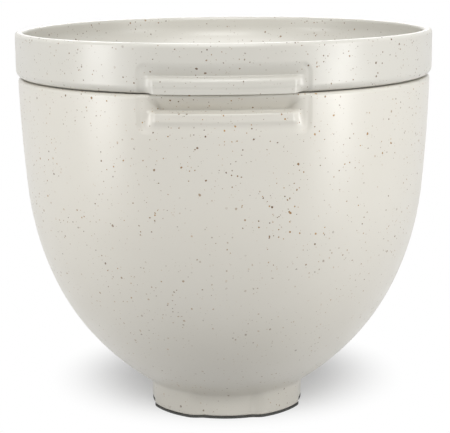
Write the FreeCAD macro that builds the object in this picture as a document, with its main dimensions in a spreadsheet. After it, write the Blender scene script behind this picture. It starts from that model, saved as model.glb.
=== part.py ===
import FreeCAD, Part

import math
import os

import Sketcher

# A stoneware mixing bowl with a bayonet foot, its rubber foot pad, and its lid lying
# open side up on the rim. Millimetres, +Z up, origin on the axis at the underside of the pad.

SIZES = [
    # the bowl's outline, from the rim down
    ("RimRadius", 115.4, "outer radius of the wall at the rim"),
    ("RimHeight", 190.3, "height of the rim above the table"),
    ("RimEdge", 1.6, "bevel of the rim's two edges"),
    ("WallLean", 1.3, "degrees that the wall leans in where it leaves the rim"),
    ("ShoulderInset", 3.4, "how far in from the rim the upper arc ends"),
    ("ShoulderHeight", 128.1, "height of that point"),
    ("BellyInset", 16.6, "how far in from the rim the middle arc ends"),
    ("BellyHeight", 76.4, "height of that point"),
    ("FlankInset", 39.8, "how far in from the rim the third arc ends"),
    ("FlankHeight", 40.3, "height of that point"),
    ("HeelOutset", 1.6, "how far out from the foot the last arc ends"),
    ("HeelHeight", 14.6, "height of that point"),
    ("BowlWall", 7.5, "thickness of the bowl's wall"),
    ("FloorHeight", 15.6, "height of the floor inside"),
    ("FloorInset", 14.6, "how far in from the foot the flat floor ends"),
    ("UndersideHeight", 7.0, "height of the ceiling of the recess under the bowl"),
    ("UndersideInset", 5.6, "how far in from the foot the flat underside ends"),
    # the bayonet foot and its pad
    ("FootRadius", 43.6, "outer radius of the foot between its lugs"),
    ("LugProud", 2.4, "how far the lugs stand out from the foot"),
    ("LugAngle", 46.0, "degrees that one lug spans, to the middle of its ramps"),
    ("LugCount", 4, "lugs round the foot"),
    ("RampRadius", 8.0, "radius of the two arcs of each ramp"),
    ("FootWall", 8.6, "width of the foot ring between its lugs"),
    ("FootTop", 16.0, "height to which the foot ring runs up into the wall"),
    ("PadThickness", 1.3, "thickness of the rubber pad"),
    ("PadInset", 1.5, "how far the pad's inner edge stands back from the foot's"),
    # the lid
    ("LidOverhang", 1.1, "how far the lid's wall stands out over the rim"),
    ("LidHeight", 25.4, "height of the lid from the rim to its own lip"),
    ("LidWall", 4.8, "thickness of the lid's wall"),
    ("LidFloor", 6.0, "thickness of the lid's floor"),
    ("LidHeel", 3.0, "bevel between the lid's underside and its wall"),
    ("LidCorner", 10.0, "slope inside, between floor and wall"),
    ("LipEdge", 1.2, "bevel of the lip's two edges"),
    # the finger grips, one in front and one behind
    ("ScoopSpan", 45.8, "half of a scoop's length, along the wall"),
    ("ScoopRound", 7.5, "radius of a scoop's section and corners"),
    ("BowlScoopDepth", 4.4, "depth of the bowl's scoops in its wall"),
    ("LidScoopDepth", 2.6, "depth of the lid's scoops in its thinner wall"),
    ("LidScoopTop", 16.6, "height of the lid's scoop above the rim"),
    ("BowlScoopTop", 2.0, "depth of the bowl's scoop's upper edge below the rim"),
    ("BowlScoopBottom", 19.6, "depth of its lower edge below the rim"),
    ("BarSpan", 40.8, "half of a bar's length, straight across"),
    ("BarFlatness", 10.1, "how much wider than the rim a bar's front is curved in plan"),
    ("BarProud", 0.4, "how far a bar's front stands out at its middle"),
    ("BarEnd", 5.0, "rounding of a bar's ends in plan"),
    ("BarRoot", 1.5, "how far a bar runs into the wall behind the scoop"),
    ("BowlBarEdge", 1.0, "bevel of the long edges of the bowl's bars"),
    ("LidBarEdge", 2.0, "bevel of the top edge of the lid's bars"),
    ("LidBarTop", 10.0, "height of the lid's bar above the rim"),
    ("BowlBarTop", 8.2, "depth of the top of the bowl's bar below the rim"),
    ("BowlBarBottom", 16.5, "depth of its lower edge below the rim"),
]

# sizes that follow from those above
FOLLOWING = [
    ("ShoulderRadius", "=RimRadius - ShoulderInset"),
    ("BellyRadius", "=RimRadius - BellyInset"),
    ("FlankRadius", "=RimRadius - FlankInset"),
    ("HeelRadius", "=FootRadius + HeelOutset"),
    ("FloorRadius", "=FootRadius - FloorInset"),
    ("UndersideRadius", "=FootRadius - UndersideInset"),
    ("LugRadius", "=FootRadius + LugProud"),
    ("LidRadius", "=RimRadius + LidOverhang"),
    ("BarFront", "=RimRadius + BarFlatness"),
]

# where the arcs of the bowl's outline meet, from the rim down
STATIONS = ("Shoulder", "Belly", "Flank", "Heel")

# two points nearer than this lie on the same face
NEAR = 0.01


def make_sheet(doc):
    sheet = doc.addObject("Spreadsheet::Sheet", "Sizes")
    for row, (alias, value, meaning) in enumerate(SIZES, start=1):
        sheet.set(f"A{row}", alias)
        sheet.set(f"B{row}", str(value))
        sheet.set(f"C{row}", meaning)
        sheet.setAlias(f"B{row}", alias)
    doc.recompute()
    for row, (alias, formula) in enumerate(FOLLOWING, start=len(SIZES) + 1):
        sheet.set(f"A{row}", alias)
        sheet.set(f"B{row}", formula)
        sheet.setAlias(f"B{row}", alias)
    doc.recompute()
    return {alias: float(sheet.get(alias)) for alias, *rest in SIZES + FOLLOWING}


def plane(body, role):
    for feature in body.Origin.OriginFeatures:
        if feature.Role == role:
            return feature
    raise ValueError(role)


def new_sketch(body, name, role):
    sketch = body.newObject("Sketcher::SketchObject", name)
    sketch.AttachmentSupport = (plane(body, role), [""])
    sketch.MapMode = "FlatFace"
    return sketch


def end_at(sketch, index, point):
    # which end of a curve, 1 or 2, lies at the point
    near = [(sketch.getPoint(index, end) - point).Length for end in (1, 2)]
    return 1 + near.index(min(near))


def draw_loop(sketch, curves):
    # curves is a list of (curve, start point); each ends where the next one starts
    first = sketch.GeometryCount
    for curve, start in curves:
        sketch.addGeometry(curve, False)
    count = len(curves)
    for offset in range(count):
        joint = curves[(offset + 1) % count][1]
        here = first + offset
        there = first + (offset + 1) % count
        sketch.addConstraint(
            Sketcher.Constraint(
                "Coincident", here, end_at(sketch, here, joint), there, end_at(sketch, there, joint)
            )
        )
    return first


def hold(sketch, name, kind, index, end, value, expression):
    # ties one coordinate of a curve's end to the sheet
    number = sketch.addConstraint(Sketcher.Constraint(kind, -1, 1, index, end, value))
    sketch.renameConstraint(number, name)
    sketch.setExpression(f"Constraints.{name}", expression)


def hold_radius(sketch, name, index, value, expression):
    number = sketch.addConstraint(Sketcher.Constraint("Radius", index, value))
    sketch.renameConstraint(number, name)
    sketch.setExpression(f"Constraints.{name}", expression)


def spot(x, y):
    return FreeCAD.Vector(x, y, 0)


class Outline:
    """A closed outline drawn with a pen: straight lines, arcs and bevelled corners."""

    def __init__(self, x, y):
        self.start = spot(x, y)
        self.pen = self.start
        self.curves = []

    def line(self, x, y):
        target = spot(x, y)
        self.curves.append((Part.LineSegment(self.pen, target), self.pen))
        self.pen = target
        return self

    def arc(self, centre, x, y):
        # the shorter arc round the centre from the pen to the target
        target = spot(x, y)
        chord_middle = (self.pen + target) * 0.5
        outward = chord_middle - centre
        outward.normalize()
        middle = centre + outward * (self.pen - centre).Length
        self.curves.append((Part.Arc(self.pen, middle, target), self.pen))
        self.pen = target
        return self

    def bevel(self, x, y, towards, size):
        # a line to just before the corner, then one across it towards the next point
        tip = spot(x, y)
        back = self.pen - tip
        back.normalize()
        onward = spot(*towards) - tip
        onward.normalize()
        before = tip + back * size
        after = tip + onward * size
        return self.line(before.x, before.y).line(after.x, after.y)

    def close(self):
        self.line(self.start.x, self.start.y)
        return self.curves


def next_arc_centre(point, inward, target):
    # centre of the arc that leaves a point square to "inward" and passes through the target
    step = target - point
    reach = step.dot(step) / (2 * step.dot(inward))
    return point + inward * reach, reach


def wall_arcs(v):
    # the tangent arcs of the bowl's outline, from the rim down: (centre, signed radius, end)
    lean = math.radians(v["WallLean"])
    top = spot(v["RimRadius"], v["RimHeight"] - v["RimEdge"])
    inward = spot(-math.cos(lean), math.sin(lean))
    arcs = []
    point = top
    for name in STATIONS:
        station = spot(v[name + "Radius"], v[name + "Height"])
        centre, reach = next_arc_centre(point, inward, station)
        arcs.append((centre, reach, station))
        inward = (centre - station) * (1 / reach)
        point = station
    return top, arcs


def bowl_outline(v):
    top, arcs = wall_arcs(v)
    wall = v["BowlWall"]
    rim = v["RimHeight"]
    edge = v["RimEdge"]
    inner_rim = v["RimRadius"] - wall
    outline = Outline(0, v["UndersideHeight"])
    outline.line(v["UndersideRadius"], v["UndersideHeight"])
    outline.line(v["HeelRadius"], v["HeelHeight"])
    # up the outside
    stations = [top] + [station for centre, reach, station in arcs]
    for number in reversed(range(len(arcs))):
        outline.arc(arcs[number][0], stations[number].x, stations[number].y)
    outline.line(v["RimRadius"] - edge, rim)
    outline.line(inner_rim + edge, rim)
    # down the inside, in straight runs between the same stations moved in by the wall
    outline.line(inner_rim, rim - edge)
    for centre, reach, station in arcs:
        inner_station = station + (centre - station) * (wall / reach)
        outline.line(inner_station.x, inner_station.y)
    outline.line(v["FloorRadius"], v["FloorHeight"])
    outline.line(0, v["FloorHeight"])
    return outline.close()


def at(radius, angle):
    return FreeCAD.Vector(radius * math.cos(angle), radius * math.sin(angle), 0)


def foot_outline(v):
    # lugs and gaps joined by ramps, each ramp being two tangent arcs of the same radius
    axis = at(0, 0)
    ramp = v["RampRadius"]
    lug_reach = v["LugRadius"] - ramp
    gap_reach = v["FootRadius"] + ramp
    cosine = (lug_reach**2 + gap_reach**2 - 4 * ramp**2) / (2 * lug_reach * gap_reach)
    ramp_turn = math.acos(cosine)
    lug_half = math.radians(v["LugAngle"]) / 2 - ramp_turn / 2
    pitch = 2 * math.pi / v["LugCount"]
    start = at(v["LugRadius"], pitch / 2 - lug_half)
    outline = Outline(start.x, start.y)
    for number in range(int(v["LugCount"])):
        middle = (number + 0.5) * pitch
        lug_end = middle + lug_half
        gap_start = lug_end + ramp_turn
        next_lug = middle + pitch - lug_half
        gap_end = next_lug - ramp_turn
        outline.arc(axis, *at(v["LugRadius"], lug_end)[:2])
        crest = at(lug_reach, lug_end)
        hollow = at(gap_reach, gap_start)
        outline.arc(crest, *((crest + hollow) * 0.5)[:2])
        outline.arc(hollow, *at(v["FootRadius"], gap_start)[:2])
        outline.arc(axis, *at(v["FootRadius"], gap_end)[:2])
        hollow = at(gap_reach, gap_end)
        crest = at(lug_reach, next_lug)
        outline.arc(hollow, *((crest + hollow) * 0.5)[:2])
        outline.arc(crest, *at(v["LugRadius"], next_lug)[:2])
    return outline.curves


def lid_outline(v):
    # the lid in its own frame: the plane that lies on the rim is at height 0
    outer = v["LidRadius"]
    inner = outer - v["LidWall"]
    outline = Outline(0, 0)
    outline.bevel(outer, 0, (outer, v["LidHeight"]), v["LidHeel"])
    outline.bevel(outer, v["LidHeight"], (inner, v["LidHeight"]), v["LipEdge"])
    outline.bevel(inner, v["LidHeight"], (inner, v["LidFloor"]), v["LipEdge"])
    outline.bevel(inner, v["LidFloor"], (0, v["LidFloor"]), v["LidCorner"])
    outline.line(0, v["LidFloor"])
    return outline.close()


def revolved_body(doc, name, outline, holds):
    body = doc.addObject("PartDesign::Body", name)
    sketch = new_sketch(body, name + "Outline", "XZ_Plane")
    draw_loop(sketch, outline)
    for label, kind, point, expression in holds:
        index, end = nearest_end(sketch, point)
        value = point.x if kind == "DistanceX" else point.y
        hold(sketch, label, kind, index, end, value, expression)
    turn = body.newObject("PartDesign::Revolution", name + "Turn")
    turn.Profile = sketch
    turn.ReferenceAxis = (sketch, ["V_Axis"])
    turn.Angle = 360
    doc.recompute()
    return body


def nearest_end(sketch, point):
    found = []
    for index in range(sketch.GeometryCount):
        for end in (1, 2):
            found.append(((sketch.getPoint(index, end) - point).Length, index, end))
    distance, index, end = min(found)
    return index, end


def bowl_shell(doc, v):
    holds = [
        ("Underside", "DistanceY", spot(0, v["UndersideHeight"]), "Sizes.UndersideHeight"),
        ("Floor", "DistanceY", spot(0, v["FloorHeight"]), "Sizes.FloorHeight"),
    ]
    for name in STATIONS:
        station = spot(v[name + "Radius"], v[name + "Height"])
        holds.append((name + "Radius", "DistanceX", station, f"Sizes.{name}Radius"))
        holds.append((name + "Height", "DistanceY", station, f"Sizes.{name}Height"))
    return revolved_body(doc, "BowlShell", bowl_outline(v), holds)


def lid_shell(doc, v):
    holds = [
        ("Floor", "DistanceY", spot(0, v["LidFloor"]), "Sizes.LidFloor"),
        ("Lip", "DistanceY", spot(v["LidRadius"] - v["LipEdge"], v["LidHeight"]), "Sizes.LidHeight"),
    ]
    return revolved_body(doc, "LidShell", lid_outline(v), holds)


def ring_body(doc, v, name, hole, hole_size, bottom, length):
    # the foot's outline with a round hole, raised from "bottom" by "length"
    body = doc.addObject("PartDesign::Body", name)
    sketch = new_sketch(body, name + "Plan", "XY_Plane")
    draw_loop(sketch, foot_outline(v))
    circle = sketch.addGeometry(Part.Circle(at(0, 0), FreeCAD.Vector(0, 0, 1), hole_size), False)
    sketch.addConstraint(Sketcher.Constraint("Coincident", circle, 3, -1, 1))
    hold_radius(sketch, "Hole", circle, hole_size, hole)
    if bottom:
        sketch.setExpression("AttachmentOffset.Base.z", bottom)
    pad = body.newObject("PartDesign::Pad", name + "Height")
    pad.Profile = sketch
    pad.setExpression("Length", length)
    doc.recompute()
    return body


def edge_samples(edge, count=5):
    first, last = edge.ParameterRange
    return [edge.valueAt(first + (last - first) * step / (count - 1)) for step in range(count)]


def dress_edges(doc, body, kind, name, size, wanted):
    # a Fillet or a Chamfer on every edge of the body's tip whose samples all pass the test
    feature = body.Tip
    names = []
    for number, edge in enumerate(feature.Shape.Edges, start=1):
        if all(wanted(point) for point in edge_samples(edge)):
            names.append(f"Edge{number}")
    dressed = body.newObject("PartDesign::" + kind, name)
    dressed.Base = (feature, names)
    dressed.setExpression("Radius" if kind == "Fillet" else "Size", size)
    doc.recompute()
    return dressed


def scoop_body(doc, v, name, wall, depth, low, high, open_below):
    # what a scoop takes out of a wall: a sector of a ring, its inner edges rounded off
    reach = 2 * v["ScoopRound"]
    inner = wall - depth
    body = doc.addObject("PartDesign::Body", name)
    sketch = new_sketch(body, name + "Section", "YZ_Plane")
    box = Outline(-inner, low)
    box.line(-wall - reach, low).line(-wall - reach, high).line(-inner, high)
    draw_loop(sketch, box.close())
    turn = body.newObject("PartDesign::Revolution", name + "Turn")
    turn.Profile = sketch
    turn.ReferenceAxis = (sketch, ["V_Axis"])
    turn.Midplane = True
    turn.Angle = math.degrees(2 * v["ScoopSpan"] / wall)
    doc.recompute()

    def inner_edge(point):
        radius = math.hypot(point.x, point.y)
        at_bottom = point.z < low + NEAR
        if radius < inner + NEAR:
            return not (open_below and at_bottom)
        at_end = point.z > high - NEAR or (at_bottom and not open_below)
        return at_end and radius < wall + reach - NEAR

    dress_edges(doc, body, "Fillet", name + "Round", "Sizes.ScoopRound", inner_edge)
    return body


def bar_outline(v, wall, depth):
    # a bar in plan: a front flatter than the wall, round ends, and a root inside the wall
    front_centre = spot(0, v["BarFront"] - wall - v["BarProud"])
    end_x = v["BarSpan"] - v["BarEnd"]
    end_drop = math.sqrt((v["BarFront"] - v["BarEnd"]) ** 2 - end_x**2)
    end_centre = spot(end_x, front_centre.y - end_drop)
    outward = end_centre - front_centre
    outward.normalize()
    front_end = front_centre + outward * v["BarFront"]
    root_radius = wall - depth - v["BarRoot"]
    root_y = -math.sqrt(root_radius**2 - v["BarSpan"] ** 2)
    outline = Outline(-front_end.x, front_end.y)
    outline.arc(front_centre, front_end.x, front_end.y)
    outline.arc(end_centre, v["BarSpan"], end_centre.y)
    outline.line(v["BarSpan"], root_y)
    outline.arc(spot(0, 0), -v["BarSpan"], root_y)
    outline.line(-v["BarSpan"], end_centre.y)
    outline.arc(spot(-end_centre.x, end_centre.y), -front_end.x, front_end.y)
    return outline.curves, root_radius


def bar_body(doc, v, name, wall, depth, bottom, length, bevels):
    # bevels are the sizes of the lower and the upper edge
    outline, root_radius = bar_outline(v, wall, depth)
    body = doc.addObject("PartDesign::Body", name)
    sketch = new_sketch(body, name + "Plan", "XY_Plane")
    draw_loop(sketch, outline)
    hold_radius(sketch, "Front", 0, v["BarFront"], "Sizes.BarFront")
    if bottom:
        sketch.setExpression("AttachmentOffset.Base.z", bottom)
    pad = body.newObject("PartDesign::Pad", name + "Height")
    pad.Profile = sketch
    pad.setExpression("Length", length)
    doc.recompute()
    box = pad.Shape.BoundBox

    def away_from_root(point):
        outside = math.hypot(point.x, point.y) > root_radius + NEAR
        return outside or abs(point.x) > v["BarSpan"] - NEAR

    def upper_edge(point):
        return point.z > box.ZMax - NEAR and away_from_root(point)

    def lower_edge(point):
        return point.z < box.ZMin + NEAR and away_from_root(point)

    dress_edges(doc, body, "Chamfer", name + "Lower", bevels[0], lower_edge)
    dress_edges(doc, body, "Chamfer", name + "Upper", bevels[1], upper_edge)
    return body


def behind(doc, source):
    # the same shape on the other side of the bowl
    mirror = doc.addObject("Part::Mirroring", source.Name + "Behind")
    mirror.Source = source
    mirror.Normal = FreeCAD.Vector(0, 1, 0)
    return mirror


def joined(doc, name, pieces):
    fuse = doc.addObject("Part::MultiFuse", name)
    fuse.Shapes = pieces
    fuse.Refine = True
    return fuse


def scooped(doc, name, base, scoop):
    cut = doc.addObject("Part::Cut", name)
    cut.Base = base
    cut.Tool = joined(doc, name + "Tools", [scoop, behind(doc, scoop)])
    cut.Refine = True
    doc.recompute()
    return cut


def make_bowl(doc, v):
    rim = v["RimHeight"]
    wall = v["RimRadius"]
    depth = v["BowlScoopDepth"]
    shell = bowl_shell(doc, v)
    foot = ring_body(
        doc, v, "Foot", "Sizes.FootRadius - Sizes.FootWall", v["FootRadius"] - v["FootWall"],
        "Sizes.PadThickness", "Sizes.FootTop - Sizes.PadThickness",
    )
    body = joined(doc, "BowlBody", [shell, foot])
    scoop = scoop_body(
        doc, v, "BowlScoop", wall, depth, rim - v["BowlScoopBottom"], rim - v["BowlScoopTop"], False
    )
    hollowed = scooped(doc, "BowlScooped", body, scoop)
    bar = bar_body(
        doc, v, "BowlBar", wall, depth, "Sizes.RimHeight - Sizes.BowlBarBottom",
        "Sizes.BowlBarBottom - Sizes.BowlBarTop", ("Sizes.BowlBarEdge", "Sizes.BowlBarEdge"),
    )
    bowl = joined(doc, "Bowl", [hollowed, bar, behind(doc, bar)])
    bowl.Label = "bowl"
    return bowl


def make_lid(doc, v):
    wall = v["LidRadius"]
    depth = v["LidScoopDepth"]
    shell = lid_shell(doc, v)
    # this scoop runs out through the lid's underside
    scoop = scoop_body(doc, v, "LidScoop", wall, depth, -v["LidHeel"], v["LidScoopTop"], True)
    hollowed = scooped(doc, "LidScooped", shell, scoop)
    bevels = ("Sizes.LidHeel", "Sizes.LidBarEdge")
    bar = bar_body(doc, v, "LidBar", wall, depth, "", "Sizes.LidBarTop", bevels)
    lid = joined(doc, "Lid", [hollowed, bar, behind(doc, bar)])
    lid.Label = "lid"
    lid.setExpression("Placement.Base.z", "Sizes.RimHeight")
    return lid


def make_foot_pad(doc, v):
    pad = ring_body(
        doc, v, "FootPad", "Sizes.FootRadius - Sizes.FootWall + Sizes.PadInset",
        v["FootRadius"] - v["FootWall"] + v["PadInset"], "", "Sizes.PadThickness",
    )
    pad.Label = "foot_pad"
    return pad


def check(doc, parts):
    for item in doc.Objects:
        if "Invalid" in item.State or "Error" in item.State:
            raise RuntimeError(f"{item.Label}: {item.State}")
    for item in parts:
        shape = item.Shape
        if shape.isNull() or not shape.isValid() or len(shape.Solids) != 1:
            raise RuntimeError(f"{item.Label}: bad shape with {len(shape.Solids)} solids")


def main():
    doc = FreeCAD.newDocument("StandMixerBowl")
    v = make_sheet(doc)
    parts = [make_bowl(doc, v), make_lid(doc, v), make_foot_pad(doc, v)]
    doc.recompute()
    check(doc, parts)
    os.makedirs("parts", exist_ok=True)
    for item in parts:
        item.Shape.exportStep(f"parts/{item.Label}.step")
        box = item.Shape.BoundBox
        reach = [round(size, 2) for size in (box.XLength, box.YLength, box.ZMin, box.ZMax)]
        print(item.Label, round(item.Shape.Volume), reach)


main()
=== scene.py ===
from collections import namedtuple
import math

import bpy
import numpy as np
from mathutils import Matrix, Vector


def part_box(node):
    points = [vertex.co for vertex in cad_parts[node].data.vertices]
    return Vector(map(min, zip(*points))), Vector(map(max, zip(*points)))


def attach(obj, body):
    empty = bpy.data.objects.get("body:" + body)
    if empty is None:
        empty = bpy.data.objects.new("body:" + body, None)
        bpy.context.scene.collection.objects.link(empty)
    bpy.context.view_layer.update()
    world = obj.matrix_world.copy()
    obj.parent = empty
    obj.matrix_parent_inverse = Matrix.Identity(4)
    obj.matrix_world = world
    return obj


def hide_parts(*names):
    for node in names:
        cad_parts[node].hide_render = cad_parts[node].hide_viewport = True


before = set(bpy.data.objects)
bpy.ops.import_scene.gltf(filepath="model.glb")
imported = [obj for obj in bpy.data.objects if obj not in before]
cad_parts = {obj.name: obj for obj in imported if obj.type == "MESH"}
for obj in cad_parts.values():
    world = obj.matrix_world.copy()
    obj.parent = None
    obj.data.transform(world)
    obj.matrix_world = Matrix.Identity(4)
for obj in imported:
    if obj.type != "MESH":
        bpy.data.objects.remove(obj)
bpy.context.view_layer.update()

# A speckled stoneware mixing bowl with its lid lying open side up on the rim.
# Sizes are in millimetres until a mesh is made; the front faces -Y.
MM = 0.001

# the bowl's outside: tangent arcs through these (radius, height) points, from the rim down
RIM_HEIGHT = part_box("lid")[0].z / MM
RIM_RADIUS = 115.4
RIM_ROUND = 2.0
WALL_LEAN = math.radians(1.3)
STATIONS = [(112.0, 128.1), (98.8, 76.4), (75.6, 40.3), (45.2, 14.6)]
BOWL_WALL = 7.5
FLOOR_HEIGHT = 15.6
FLOOR_RADIUS = 29.0
FLOOR_EASE = 8.0
FLOOR_RISE = 0.1
FLOOR_CORNER_SHARE = 0.42
UNDERSIDE_HEIGHT = 7.0
UNDERSIDE_ROUND = 1.5
UNDERSIDE_EASE = 12.0

# the bayonet foot and its pad
PAD_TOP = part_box("foot_pad")[1].z / MM
FOOT_RADIUS = 43.6
LUG_RADIUS = 46.0
LUG_HALF_ANGLE = math.radians(23.0)
LUG_RAMP_ANGLE = math.radians(11.0)
LUG_COUNT = 4
FOOT_WALL = 8.6
FOOT_ROUND = 1.2
FOOT_BLEND = 2.2
FOOT_ZONE = 60.0
RUN_IN_ROWS = 11
RUN_IN_STEP = 1.6
RUN_IN_DROP = 0.9
PAD_INSET = 1.5
PAD_ROUND = 0.35

# the lid
LID_RADIUS = 116.5
LID_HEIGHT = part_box("lid")[1].z / MM - RIM_HEIGHT
LID_WALL = 4.8
LID_FLOOR = 6.0
LID_HEEL = 4.2
LID_SLIT = 0.5
LID_BAR_TUCK = 0.2
LID_CORNER = 14.0
LIP_ROUND = 2.0
LID_FLOOR_RINGS = (4.0, 40.0, 80.0)
LID_UNDER_EDGE = 1.5
LID_UNDER_RINGS = (100.0, 60.0, 5.0)

# the finger grips: a bar across a hollow, in front and behind; heights are above the rim
GRIP_HALF = 44.8
GRIP_CORNER = 5.0
GRIP_REACH = 0.6
HOLLOW_LIP = 0.6
END_START = 12.0
END_FULL = 2.0
END_DEPTH = 0.6
END_LIP = 0.3
END_EDGE = 2.4
END_LOSS = 0.85
BAR_FRONT = 125.0
BAR_PROUD = 0.4
BAR_END = 6.5
Grip = namedtuple(
    "Grip", "wall depth slope low high low_loss bar_half bar_low bar_high bar_under bar_over"
)
LID_GRIP = Grip(
    wall=LID_RADIUS, depth=3.4, slope=9.0, low=-15.0, high=15.8, low_loss=0.0,
    bar_half=41.0, bar_low=-1.0, bar_high=9.2, bar_under=0.5, bar_over=2.8,
)
BOWL_GRIP = Grip(
    wall=RIM_RADIUS, depth=7.0, slope=12.0, low=-20.0, high=2.6, low_loss=0.85,
    bar_half=40.2, bar_low=-17.4, bar_high=-8.2, bar_under=4.4, bar_over=1.2,
)

# distances between the skins' columns and rows, and how far from a grip's middle,
# from the rim or above the floor each one holds
COLUMN_PLAIN = 4.5
COLUMN_GRIP = 1.1
COLUMN_END = 0.36
GRIP_COLUMNS = 34.0
END_COLUMNS = 47.0
ROW_PLAIN = 3.2
ROW_GRIP = 0.42
ROW_FOOT = 0.9
ROW_LIP = 0.6
GRIP_ROWS = 21.0
FOOT_ROWS = 24.0
LID_GRIP_ROWS = 17.0
CENTRE_INSIDE = 4.0
CENTRE_UNDER = 5.0


def smooth_step(low, high, value):
    t = np.clip((value - low) / (high - low), 0.0, 1.0)
    return t * t * (3 - 2 * t)


def smooth_max(a, b, melt):
    return (a + b + np.sqrt((a - b) ** 2 + melt**2)) / 2


def arc(centre, radius, start, end, step):
    """Points of an arc of a section; the angles are in degrees from outwards, upwards positive."""
    count = max(2, int(abs(math.radians(end - start)) * radius / step) + 1)
    points = []
    for t in np.linspace(math.radians(start), math.radians(end), count + 1):
        points.append((centre[0] + radius * math.cos(t), centre[1] + radius * math.sin(t)))
    return points


def wall_arcs():
    """(centre, radius, end) of each arc of the bowl's outside, from the rim down."""
    point = np.array([RIM_RADIUS, RIM_HEIGHT - RIM_ROUND])
    inward = np.array([-math.cos(WALL_LEAN), math.sin(WALL_LEAN)])
    arcs = []
    for station in STATIONS:
        step = np.array(station) - point
        radius = step.dot(step) / (2 * step.dot(inward))
        centre = point + inward * radius
        arcs.append((centre, radius, np.array(station)))
        point = np.array(station)
        inward = (centre - point) / radius
    return arcs


def wall_line(offset, spacing):
    """The bowl's wall from the rim down, moved in by the offset."""
    points = []
    start = np.array([RIM_RADIUS, RIM_HEIGHT - RIM_ROUND])
    for centre, radius, end in wall_arcs():
        first = math.degrees(math.atan2(start[1] - centre[1], start[0] - centre[0]))
        last = math.degrees(math.atan2(end[1] - centre[1], end[0] - centre[0]))
        piece = arc(centre, radius - offset, first, last, spacing)
        points += piece if not points else piece[1:]
        start = end
    return points


def respaced(points, spacing):
    """The same line with points as far apart as spacing(height) says, the last gap not too short."""
    line = np.array(points)
    runs = np.linalg.norm(np.diff(line, axis=0), axis=1)
    along = np.concatenate([[0.0], np.cumsum(runs)])
    marks = [0.0]
    while marks[-1] < along[-1]:
        height = np.interp(marks[-1], along, line[:, 1])
        marks.append(marks[-1] + spacing(height))
    marks[-1] = along[-1]
    if marks[-1] - marks[-2] < 0.3 * spacing(line[-1, 1]):
        marks.pop(-2)
    return list(zip(np.interp(marks, along, line[:, 0]), np.interp(marks, along, line[:, 1])))


def columns():
    """Angles round the axis, close together where the grips end. Zero is the front."""
    half = [0.0]
    while half[-1] < math.pi:
        nearest_grip = min(half[-1], math.pi - half[-1]) * RIM_RADIUS
        step = COLUMN_PLAIN
        if nearest_grip < GRIP_COLUMNS:
            step = COLUMN_GRIP
        elif nearest_grip < END_COLUMNS:
            step = COLUMN_END
        half.append(half[-1] + step / RIM_RADIUS)
    half = np.array(half[:-1]) * math.pi / half[-1]
    return np.concatenate([half, half + math.pi])


def turned(name, rings, angles, closed):
    """A skin turned round the axis. rings are (radii, heights), one value for each angle."""
    count = len(angles)
    radii = np.array([ring[0] for ring in rings])
    heights = np.array([ring[1] for ring in rings])
    x = radii * np.sin(angles)
    y = -radii * np.cos(angles)
    points = np.stack([x, y, heights], axis=2).reshape(-1, 3) * MM
    total = len(rings)
    faces = []
    for i in range(total if closed else total - 1):
        here = i * count
        there = (i + 1) % total * count
        for j in range(count):
            k = (j + 1) % count
            faces.append((here + j, there + j, there + k, here + k))
    if not closed:
        first_pole = len(points)
        last_ring = (total - 1) * count
        poles = [(0, 0, heights[0].mean() * MM), (0, 0, heights[-1].mean() * MM)]
        points = np.concatenate([points, np.array(poles)])
        for j in range(count):
            k = (j + 1) % count
            faces.append((first_pole, j, k))
            faces.append((first_pole + 1, last_ring + k, last_ring + j))
    mesh = bpy.data.meshes.new(name)
    mesh.from_pydata(points.tolist(), [], faces)
    mesh.polygons.foreach_set("use_smooth", [True] * len(mesh.polygons))
    mesh.update()
    piece = bpy.data.objects.new(name, mesh)
    bpy.context.scene.collection.objects.link(piece)
    return piece


def grip_angle(angles):
    """Angle to the middle of the nearer grip."""
    turn = (angles + math.pi) % (2 * math.pi) - math.pi
    return np.where(np.abs(turn) > math.pi / 2, math.pi - np.abs(turn), np.abs(turn))


def rounded_box_depth(across, up, half, low, high, corner):
    """How far a spot lies inside a box with rounded corners; negative outside."""
    middle = (low + high) / 2
    dx = np.abs(across) - (half - corner)
    dy = np.abs(up - middle) - ((high - low) / 2 - corner)
    outside = np.hypot(np.maximum(dx, 0), np.maximum(dy, 0))
    return corner - outside - np.minimum(np.maximum(dx, dy), 0)


def bar_share(grip, turn, up):
    """One on a bar's front, zero round it, rolling over along its edges and fading at its ends."""
    across = np.abs(grip.wall * np.sin(turn))
    ends = 1 - smooth_step(grip.bar_half - BAR_END, grip.bar_half, across)
    over_top = np.clip((up - (grip.bar_high - grip.bar_over)) / grip.bar_over, 0.0, 1.0)
    under = np.clip((grip.bar_low + grip.bar_under - up) / grip.bar_under, 0.0, 1.0)
    return ends * np.sqrt(1 - over_top**2) * (1 - smooth_step(0.0, 1.0, under))


def gripped(grip, radius, turn, up):
    """A wall with the hollow let into it and the bar left standing in it."""
    inside = rounded_box_depth(grip.wall * turn, up, GRIP_HALF, grip.low, grip.high, GRIP_CORNER)
    share = bar_share(grip, turn, up)
    across = np.abs(grip.wall * np.sin(turn))
    at_ends = smooth_step(GRIP_HALF - END_START, GRIP_HALF - END_FULL, across)
    low_down = 1 - smooth_step(grip.bar_low, grip.bar_high, up)
    shallower = (1 - END_LOSS * at_ends) * (1 - grip.low_loss * low_down)
    let_in = grip.depth * shallower * smooth_step(-HOLLOW_LIP, grip.slope, inside)
    let_in += END_DEPTH * at_ends * smooth_step(-END_LIP, END_EDGE, inside)
    set_back = BAR_FRONT - grip.wall - BAR_PROUD
    face = np.sqrt(BAR_FRONT**2 - (set_back * np.sin(turn)) ** 2) - set_back * np.cos(turn)
    return radius - let_in * (1 - share) + (face - grip.wall) * share


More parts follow.
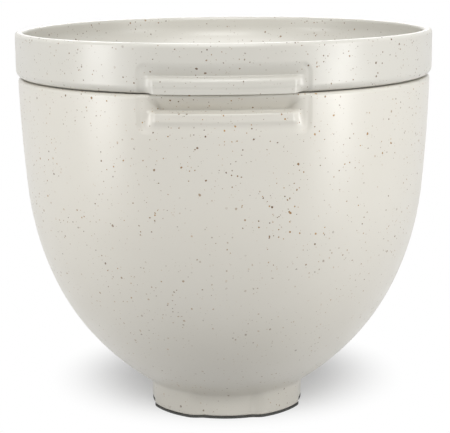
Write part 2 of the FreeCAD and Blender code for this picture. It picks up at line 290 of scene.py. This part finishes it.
def lid_face(radius, angles, height):
    """The lid's outside with its grips."""
    turn = grip_angle(angles)
    up = height - RIM_HEIGHT
    # the bar runs straight down where the heel beside it is rounded
    straight = radius + (max(radius, LID_RADIUS - LID_BAR_TUCK) - radius) * bar_share(LID_GRIP, turn, up)
    return np.where(turn < GRIP_REACH, gripped(LID_GRIP, straight, turn, up), radius)


def bowl_face(radius, angles, height):
    """The bowl's outside with its grips and its foot."""
    if height < FOOT_ZONE:
        return smooth_max(radius + 0 * angles, foot_radius(angles), FOOT_BLEND)
    turn = grip_angle(angles)
    up = height - RIM_HEIGHT
    return np.where(turn < GRIP_REACH, gripped(BOWL_GRIP, radius, turn, up), radius)


def foot_radius(angles):
    """The foot's outline: lugs halfway between front, back and sides, with soft ramps."""
    pitch = 2 * math.pi / LUG_COUNT
    turn = np.abs((angles % pitch) - pitch / 2)
    low = LUG_HALF_ANGLE + LUG_RAMP_ANGLE / 2
    high = LUG_HALF_ANGLE - LUG_RAMP_ANGLE / 2
    return FOOT_RADIUS + (LUG_RADIUS - FOOT_RADIUS) * (1 - smooth_step(high, low, turn))


def as_rings(points, angles, face=None):
    rings = []
    for radius, height in points:
        radii = np.full(len(angles), radius) if face is None else face(radius, angles, height)
        rings.append((radii, np.full(len(angles), height)))
    return rings


def bowl_row(height):
    """Distance between two rows of the bowl's outside."""
    if height > RIM_HEIGHT - GRIP_ROWS:
        return ROW_GRIP
    return ROW_FOOT if height < FOOT_ROWS else ROW_PLAIN


def bowl_inside():
    """The bowl's inner section, from the middle of the floor up to the rim."""
    wall = wall_line(BOWL_WALL, spacing=4.0)
    low_end = wall[-1]
    floor = [
        (CENTRE_INSIDE, FLOOR_HEIGHT),
        (FLOOR_RADIUS - FLOOR_EASE, FLOOR_HEIGHT),
        (FLOOR_RADIUS, FLOOR_HEIGHT + FLOOR_RISE),
    ]
    corner_height = FLOOR_HEIGHT + FLOOR_CORNER_SHARE * (low_end[1] - FLOOR_HEIGHT)
    corner = ((FLOOR_RADIUS + low_end[0]) / 2, corner_height)
    round_centre = (RIM_RADIUS - BOWL_WALL + RIM_ROUND, RIM_HEIGHT - RIM_ROUND)
    rim = arc(round_centre, RIM_ROUND, 180, 90, step=0.5)
    return floor + [corner] + wall[::-1][:-1] + rim


def bowl_outside():
    """The bowl's outer section, from the rim down until the foot's outline takes over."""
    rim = arc((RIM_RADIUS - RIM_ROUND, RIM_HEIGHT - RIM_ROUND), RIM_ROUND, 90, 0, step=0.35)
    outside = respaced(rim + wall_line(0, spacing=0.5)[1:], bowl_row)
    radius, height = outside[-1]
    for row in range(1, RUN_IN_ROWS + 1):
        outside.append((radius - RUN_IN_STEP * row, height - RUN_IN_DROP * row))
    return outside


def foot_underside():
    """Section of the foot's hole and the bowl's underside, from the pad inwards."""
    hole = FOOT_RADIUS - FOOT_WALL
    under = arc((hole + FOOT_ROUND, PAD_TOP + FOOT_ROUND), FOOT_ROUND, 270, 180, step=0.4)
    round_centre = (hole - UNDERSIDE_ROUND, UNDERSIDE_HEIGHT - UNDERSIDE_ROUND)
    under += [(hole, round_centre[1])]
    under += arc(round_centre, UNDERSIDE_ROUND, 0, 90, step=0.4)
    under += [(hole - UNDERSIDE_EASE, UNDERSIDE_HEIGHT), (CENTRE_UNDER, UNDERSIDE_HEIGHT)]
    return under


def make_bowl(angles):
    rings = as_rings(bowl_inside(), angles)
    rings += as_rings(bowl_outside(), angles, bowl_face)
    outline = foot_radius(angles)
    for radius, height in arc((-FOOT_ROUND, PAD_TOP + FOOT_ROUND), FOOT_ROUND, 0, -90, step=0.3):
        rings.append((outline + radius, np.full(len(angles), height)))
    rings += as_rings(foot_underside(), angles)
    return turned("bowl_skin", rings, angles, closed=False)


def lid_row(height):
    """Distance between two rows of the lid's outside; the height is above the rim."""
    return ROW_GRIP if height < LID_GRIP_ROWS else ROW_LIP


def make_lid(angles):
    inner = LID_RADIUS - LID_WALL
    tray = [(radius, LID_FLOOR) for radius in LID_FLOOR_RINGS]
    tray += arc((inner - LID_CORNER, LID_FLOOR + LID_CORNER), LID_CORNER, -90, 0, step=1.0)
    tray += arc((inner + LIP_ROUND, LID_HEIGHT - LIP_ROUND), LIP_ROUND, 180, 90, step=0.35)
    lip = arc((LID_RADIUS - LIP_ROUND, LID_HEIGHT - LIP_ROUND), LIP_ROUND, 90, 0, step=0.35)
    heel = arc((LID_RADIUS - LID_HEEL, LID_HEEL + LID_SLIT), LID_HEEL, 0, -90, step=0.4)
    outside = respaced(lip + heel, lid_row)
    under = [(LID_RADIUS - LID_HEEL - LID_UNDER_EDGE, 0.0)]
    under += [(radius, 0.0) for radius in LID_UNDER_RINGS]

    def lifted(points):
        return [(radius, height + RIM_HEIGHT) for radius, height in points]

    rings = as_rings(lifted(tray), angles)
    rings += as_rings(lifted(outside), angles, lid_face)
    rings += as_rings(lifted(under), angles)
    return turned("lid_skin", rings, angles, closed=False)


def make_pad(angles):
    hole = FOOT_RADIUS - FOOT_WALL + PAD_INSET
    outline = foot_radius(angles)
    edge = arc((-PAD_ROUND, PAD_TOP - PAD_ROUND), PAD_ROUND, 90, 0, step=0.15)
    edge += arc((-PAD_ROUND, PAD_ROUND), PAD_ROUND, 0, -90, step=0.15)
    rings = [(outline + radius, np.full(len(angles), height)) for radius, height in edge]
    section = arc((hole + PAD_ROUND, PAD_ROUND), PAD_ROUND, 270, 180, step=0.15)
    section += arc((hole + PAD_ROUND, PAD_TOP - PAD_ROUND), PAD_ROUND, 180, 90, step=0.15)
    rings += as_rings(section, angles)
    return turned("pad_skin", rings, angles, closed=True)


# the glaze; its lengths are in metres, and each scale counts patches in a metre
CLOUD_SCALE = 14.0
CLUSTER_SCALE = 38.0
CLUSTER_LOW = 0.38
CLUSTER_HIGH = 0.50
CLUSTER_LEAST = 0.20
PATCH_SCALE = 60.0
PEEL_SCALE = 420.0
PEEL_STRENGTH = 0.12
PEEL_HEIGHT = 0.0002
WOBBLE_SCALE = 900.0
WOBBLE = (0.0007, 0.0007, 0.0007)
BARE_HEIGHT = 0.045
BARE_REACH = 0.08
BARE_SHARE = 0.45
PIT_ROUGHNESS = 0.15
PIT_SINK = 0.3
GLAZE_ROUGHNESS = 0.32
BOWL_BODY = (0.665, 0.642, 0.582, 1)
BOWL_WARM = (0.652, 0.626, 0.562, 1)
BOWL_LIGHT_SPECK = (0.42, 0.25, 0.09, 1)
BOWL_DARK_SPECK = (0.110, 0.056, 0.020, 1)
LID_BODY = (0.603, 0.587, 0.537, 1)
LID_WARM = (0.591, 0.574, 0.522, 1)
LID_LIGHT_SPECK = (0.34, 0.24, 0.15, 1)
LID_DARK_SPECK = (0.130, 0.085, 0.055, 1)
# specks: cell size, share of cells filled, least and largest radius, soft edge, darkness
SPECK_LAYERS = [
    (0.0026, 0.68, 0.00022, 0.00050, 0.00008, 1.00),
    (0.0045, 0.62, 0.00034, 0.00074, 0.00010, 1.00),
    (0.0017, 0.52, 0.00015, 0.00028, 0.00007, 0.80),
]

# the rubber of the pad
DUST_SCALE = 220.0
GRAIN_SCALE = 1500.0
RUBBER_CLEAN = (0.040, 0.040, 0.036, 1.0)
RUBBER_DUSTY = (0.075, 0.074, 0.068, 1.0)

# the studio, in metres: floor, lamps (place, target, width, height, watts) and camera
FLOOR_REACH = 9.0
PAPER = (0.55, 0.55, 0.55, 1)
# a painted shadow on the floor: the white glow fades out towards this spot, from SHADOW_TO in to
# SHADOW_FROM, down to SHADOW_LEAST
SHADOW_CENTRE = (0.0, 0.045, 0.0)
SHADOW_FROM = 0.040
SHADOW_TO = 0.112
SHADOW_LEAST = 0.22
WORLD_LEVEL = 0.03
Lamp = namedtuple("Lamp", "name place target width height power")
LAMPS = [
    Lamp("left_strip", (-0.52, -0.276, 0.22), (0, 0, 0.14), 0.20, 0.40, 1.65),
    Lamp("right_strip", (0.495, -0.32, 0.22), (0, 0, 0.14), 0.20, 0.40, 1.80),
    Lamp("front_softbox", (0, -0.98, 1.12), (0, 0, 0.12), 0.8, 0.5, 9.5),
    Lamp("top_softbox", (0, -0.06, 1.2), (0, 0, 0.15), 0.6, 0.6, 5.0),
    Lamp("back_softbox", (0, 1.0, 0.75), (0, 0, 0.12), 0.8, 0.5, 5.0),
]
CAMERA_LENS = 113.65
CAMERA_PLACE = (-0.0001, -0.8057, 0.2670)
CAMERA_LOOKS_DOWN = math.radians(11.2)
CAMERA_ROLL = -0.0095


class Nodes:
    """Adds nodes to a material; an input takes a value or another node's output."""

    def __init__(self, name):
        self.material = bpy.data.materials.new(name)
        self.material.use_nodes = True
        self.tree = self.material.node_tree
        self.shader = self.tree.nodes["Principled BSDF"]

    def add(self, kind, inputs, **settings):
        made = self.tree.nodes.new(kind)
        for name, value in settings.items():
            setattr(made, name, value)
        for key, value in inputs.items():
            self.feed(made.inputs[key], value)
        return made

    def feed(self, socket, value):
        if isinstance(value, bpy.types.NodeSocket):
            self.tree.links.new(value, socket)
        else:
            socket.default_value = value

    def maths(self, operation, a, b, clamp=False):
        made = self.add("ShaderNodeMath", {0: a, 1: b}, operation=operation, use_clamp=clamp)
        return made.outputs[0]

    def noise(self, where, scale, detail=2.0):
        made = self.add("ShaderNodeTexNoise", {"Vector": where, "Scale": scale, "Detail": detail})
        return made.outputs["Fac"]

    def ramp(self, value, low, high, to_low, to_high):
        made = self.add(
            "ShaderNodeMapRange",
            {"Value": value, "From Min": low, "From Max": high, "To Min": to_low, "To Max": to_high},
        )
        return made.outputs["Result"]

    def blended(self, share, a, b):
        made = self.add("ShaderNodeMix", {"Factor": share}, data_type="RGBA")
        self.feed(made.inputs[6], a)
        self.feed(made.inputs[7], b)
        return made.outputs[2]


def specks(nodes, where, cell, share, small, large, soft):
    """Spots of mixed sizes in a share of the cells: (mask, random tone)."""
    cells = nodes.add("ShaderNodeTexVoronoi", {"Vector": where, "Scale": 1 / cell, "Randomness": 1.0})
    tone = nodes.add("ShaderNodeSeparateColor", {"Color": cells.outputs["Color"]})
    pick = tone.outputs["Red"]
    present = nodes.maths("GREATER_THAN", pick, 1 - share)
    size = nodes.ramp(pick, 1 - share, 1.0, small / cell, large / cell)
    inside = nodes.maths("SUBTRACT", size, cells.outputs["Distance"])
    mask = nodes.maths("MULTIPLY", inside, cell / soft, True)
    return nodes.maths("MULTIPLY", mask, present), tone.outputs["Green"]


def glaze(name, body, warm, light_speck, dark_speck, seed):
    """Satin stoneware glaze: cloudy tone, brown specks in clusters and a faint orange peel."""
    roughness = GLAZE_ROUGHNESS
    nodes = Nodes(name)
    place = nodes.add("ShaderNodeTexCoord", {}).outputs["Object"]
    shifted = nodes.add("ShaderNodeVectorMath", {0: place, 1: (seed, seed * 2, seed * 3)}).outputs[0]
    wobble = nodes.add("ShaderNodeTexNoise", {"Vector": shifted, "Scale": WOBBLE_SCALE, "Detail": 1.0})
    wobbled = nodes.add(
        "ShaderNodeVectorMath",
        {0: wobble.outputs["Color"], 1: WOBBLE, 2: shifted},
        operation="MULTIPLY_ADD",
    ).outputs[0]
    clouds = nodes.noise(shifted, CLOUD_SCALE, 3.0)
    colour = nodes.blended(nodes.ramp(clouds, 0.35, 0.65, 0.0, 1.0), body, warm)
    gathered = nodes.noise(shifted, CLUSTER_SCALE)
    clusters = nodes.ramp(gathered, CLUSTER_LOW, CLUSTER_HIGH, CLUSTER_LEAST, 1.0)
    # fewest specks low on the bowl's flank
    height = nodes.add("ShaderNodeSeparateXYZ", {0: place}).outputs["Z"]
    off_flank = nodes.maths("ABSOLUTE", nodes.maths("SUBTRACT", height, BARE_HEIGHT), 0.0)
    by_height = nodes.ramp(off_flank, 0.0, BARE_REACH, BARE_SHARE, 1.0)
    clusters = nodes.maths("MULTIPLY", clusters, by_height)
    pits = None
    for cell, share, small, large, soft, depth in SPECK_LAYERS:
        mask, tone = specks(nodes, wobbled, cell, share, small, large, soft)
        stain = nodes.blended(tone, dark_speck, light_speck)
        strength = nodes.maths("MULTIPLY", mask, nodes.maths("MULTIPLY", clusters, depth))
        colour = nodes.blended(strength, colour, stain)
        pits = strength if pits is None else nodes.maths("MAXIMUM", pits, strength)
    nodes.feed(nodes.shader.inputs["Base Color"], colour)
    patches = nodes.noise(shifted, PATCH_SCALE, 3.0)
    patchy = nodes.ramp(patches, 0.3, 0.7, roughness - 0.04, roughness + 0.05)
    rough = nodes.maths("ADD", patchy, nodes.maths("MULTIPLY", pits, PIT_ROUGHNESS))
    nodes.feed(nodes.shader.inputs["Roughness"], rough)
    peel = nodes.noise(shifted, PEEL_SCALE)
    relief = nodes.maths("SUBTRACT", peel, nodes.maths("MULTIPLY", pits, PIT_SINK))
    bump = nodes.add(
        "ShaderNodeBump", {"Height": relief, "Strength": PEEL_STRENGTH, "Distance": PEEL_HEIGHT}
    )
    nodes.feed(nodes.shader.inputs["Normal"], bump.outputs["Normal"])
    return nodes.material


def rubber(name):
    """Nearly black rubber with a little dust and a fine grain."""
    nodes = Nodes(name)
    place = nodes.add("ShaderNodeTexCoord", {}).outputs["Object"]
    dust = nodes.ramp(nodes.noise(place, DUST_SCALE, 3.0), 0.4, 0.7, 0.0, 1.0)
    nodes.feed(nodes.shader.inputs["Base Color"], nodes.blended(dust, RUBBER_CLEAN, RUBBER_DUSTY))
    grain = nodes.noise(place, GRAIN_SCALE)
    nodes.feed(nodes.shader.inputs["Roughness"], nodes.ramp(grain, 0.3, 0.7, 0.62, 0.80))
    bump = nodes.add("ShaderNodeBump", {"Height": grain, "Strength": 0.3, "Distance": 0.0001})
    nodes.feed(nodes.shader.inputs["Normal"], bump.outputs["Normal"])
    return nodes.material


def dress(piece, node, material):
    piece.data.materials.append(material)
    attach(piece, "root")
    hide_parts(node)


def pale_share(tree):
    """One for rays from the camera, a mirror or glass, zero for light on the object."""
    path = tree.nodes.new("ShaderNodeLightPath")
    total = path.outputs["Is Camera Ray"]
    for name in ("Is Glossy Ray", "Is Transmission Ray"):
        more = tree.nodes.new("ShaderNodeMath")
        more.operation = "MAXIMUM"
        tree.links.new(total, more.inputs[0])
        tree.links.new(path.outputs[name], more.inputs[1])
        total = more.outputs[0]
    return total


def make_floor():
    reach = FLOOR_REACH
    corners = [(-reach, -reach, 0), (reach, -reach, 0), (reach, reach, 0), (-reach, reach, 0)]
    mesh = bpy.data.meshes.new("studio_floor")
    mesh.from_pydata(corners, [], [(0, 1, 2, 3)])
    floor = bpy.data.objects.new("studio_floor", mesh)
    bpy.context.scene.collection.objects.link(floor)
    material = bpy.data.materials.new("studio_paper")
    material.use_nodes = True
    tree = material.node_tree
    paper = tree.nodes["Principled BSDF"]
    paper.inputs["Base Color"].default_value = PAPER
    paper.inputs["Roughness"].default_value = 1.0
    paper.inputs["Specular IOR Level"].default_value = 0.0
    glow = tree.nodes.new("ShaderNodeEmission")
    glow.inputs["Color"].default_value = (1, 1, 1, 1)
    glow.inputs["Strength"].default_value = 1.0
    # near the object less white glow is mixed in, so the paper shows the lamps' real shadow together
    # with a painted shadow round the foot; further out it is plain white
    place = tree.nodes.new("ShaderNodeNewGeometry")
    length = tree.nodes.new("ShaderNodeVectorMath")
    length.operation = "DISTANCE"
    length.inputs[1].default_value = SHADOW_CENTRE
    tree.links.new(place.outputs["Position"], length.inputs[0])
    far = tree.nodes.new("ShaderNodeMapRange")
    far.interpolation_type = "SMOOTHSTEP"
    tree.links.new(length.outputs["Value"], far.inputs["Value"])
    far.inputs["From Min"].default_value = SHADOW_FROM
    far.inputs["From Max"].default_value = SHADOW_TO
    far.inputs["To Min"].default_value = SHADOW_LEAST
    far.inputs["To Max"].default_value = 1.0
    share = tree.nodes.new("ShaderNodeMath")
    share.operation = "MULTIPLY"
    tree.links.new(far.outputs["Result"], share.inputs[0])
    tree.links.new(pale_share(tree), share.inputs[1])
    mix = tree.nodes.new("ShaderNodeMixShader")
    tree.links.new(share.outputs[0], mix.inputs[0])
    tree.links.new(paper.outputs[0], mix.inputs[1])
    tree.links.new(glow.outputs[0], mix.inputs[2])
    tree.links.new(mix.outputs[0], tree.nodes["Material Output"].inputs["Surface"])
    mesh.materials.append(material)


def make_world():
    """Faint even light on the object, plain white to the camera and in reflections."""
    world = bpy.data.worlds.new("studio")
    world.use_nodes = True
    bpy.context.scene.world = world
    tree = world.node_tree
    lit = tree.nodes["Background"]
    lit.inputs["Color"].default_value = (1, 1, 1, 1)
    lit.inputs["Strength"].default_value = WORLD_LEVEL
    seen = tree.nodes.new("ShaderNodeBackground")
    seen.inputs["Color"].default_value = (1, 1, 1, 1)
    seen.inputs["Strength"].default_value = 1.0
    mix = tree.nodes.new("ShaderNodeMixShader")
    tree.links.new(pale_share(tree), mix.inputs[0])
    tree.links.new(lit.outputs[0], mix.inputs[1])
    tree.links.new(seen.outputs[0], mix.inputs[2])
    tree.links.new(mix.outputs[0], tree.nodes["World Output"].inputs["Surface"])


def make_lamp(lamp):
    light = bpy.data.lights.new(lamp.name, "AREA")
    light.shape = "RECTANGLE"
    light.size = lamp.width
    light.size_y = lamp.height
    light.energy = lamp.power
    holder = bpy.data.objects.new(lamp.name, light)
    holder.location = lamp.place
    aim = Vector(lamp.target) - Vector(lamp.place)
    holder.rotation_euler = aim.to_track_quat("-Z", "Y").to_euler()
    bpy.context.scene.collection.objects.link(holder)


def make_camera():
    camera = bpy.data.cameras.new("camera")
    camera.sensor_width = 36.0
    camera.lens = CAMERA_LENS
    holder = bpy.data.objects.new("camera", camera)
    bpy.context.scene.collection.objects.link(holder)
    pitch = Matrix.Rotation(math.pi / 2 - CAMERA_LOOKS_DOWN, 4, "X")
    roll = Matrix.Rotation(CAMERA_ROLL, 4, "Z")
    holder.matrix_world = Matrix.Translation(CAMERA_PLACE) @ pitch @ roll
    bpy.context.scene.camera = holder


def main():
    angles = columns()
    bowl_glaze = glaze("bowl_glaze", BOWL_BODY, BOWL_WARM, BOWL_LIGHT_SPECK, BOWL_DARK_SPECK, 0.3)
    lid_glaze = glaze("lid_glaze", LID_BODY, LID_WARM, LID_LIGHT_SPECK, LID_DARK_SPECK, 1.7)
    dress(make_bowl(angles), "bowl", bowl_glaze)
    dress(make_lid(angles), "lid", lid_glaze)
    dress(make_pad(angles), "foot_pad", rubber("foot_rubber"))
    make_floor()
    make_world()
    for lamp in LAMPS:
        make_lamp(lamp)
    make_camera()
    bpy.context.scene.view_settings.view_transform = "Standard"


main()
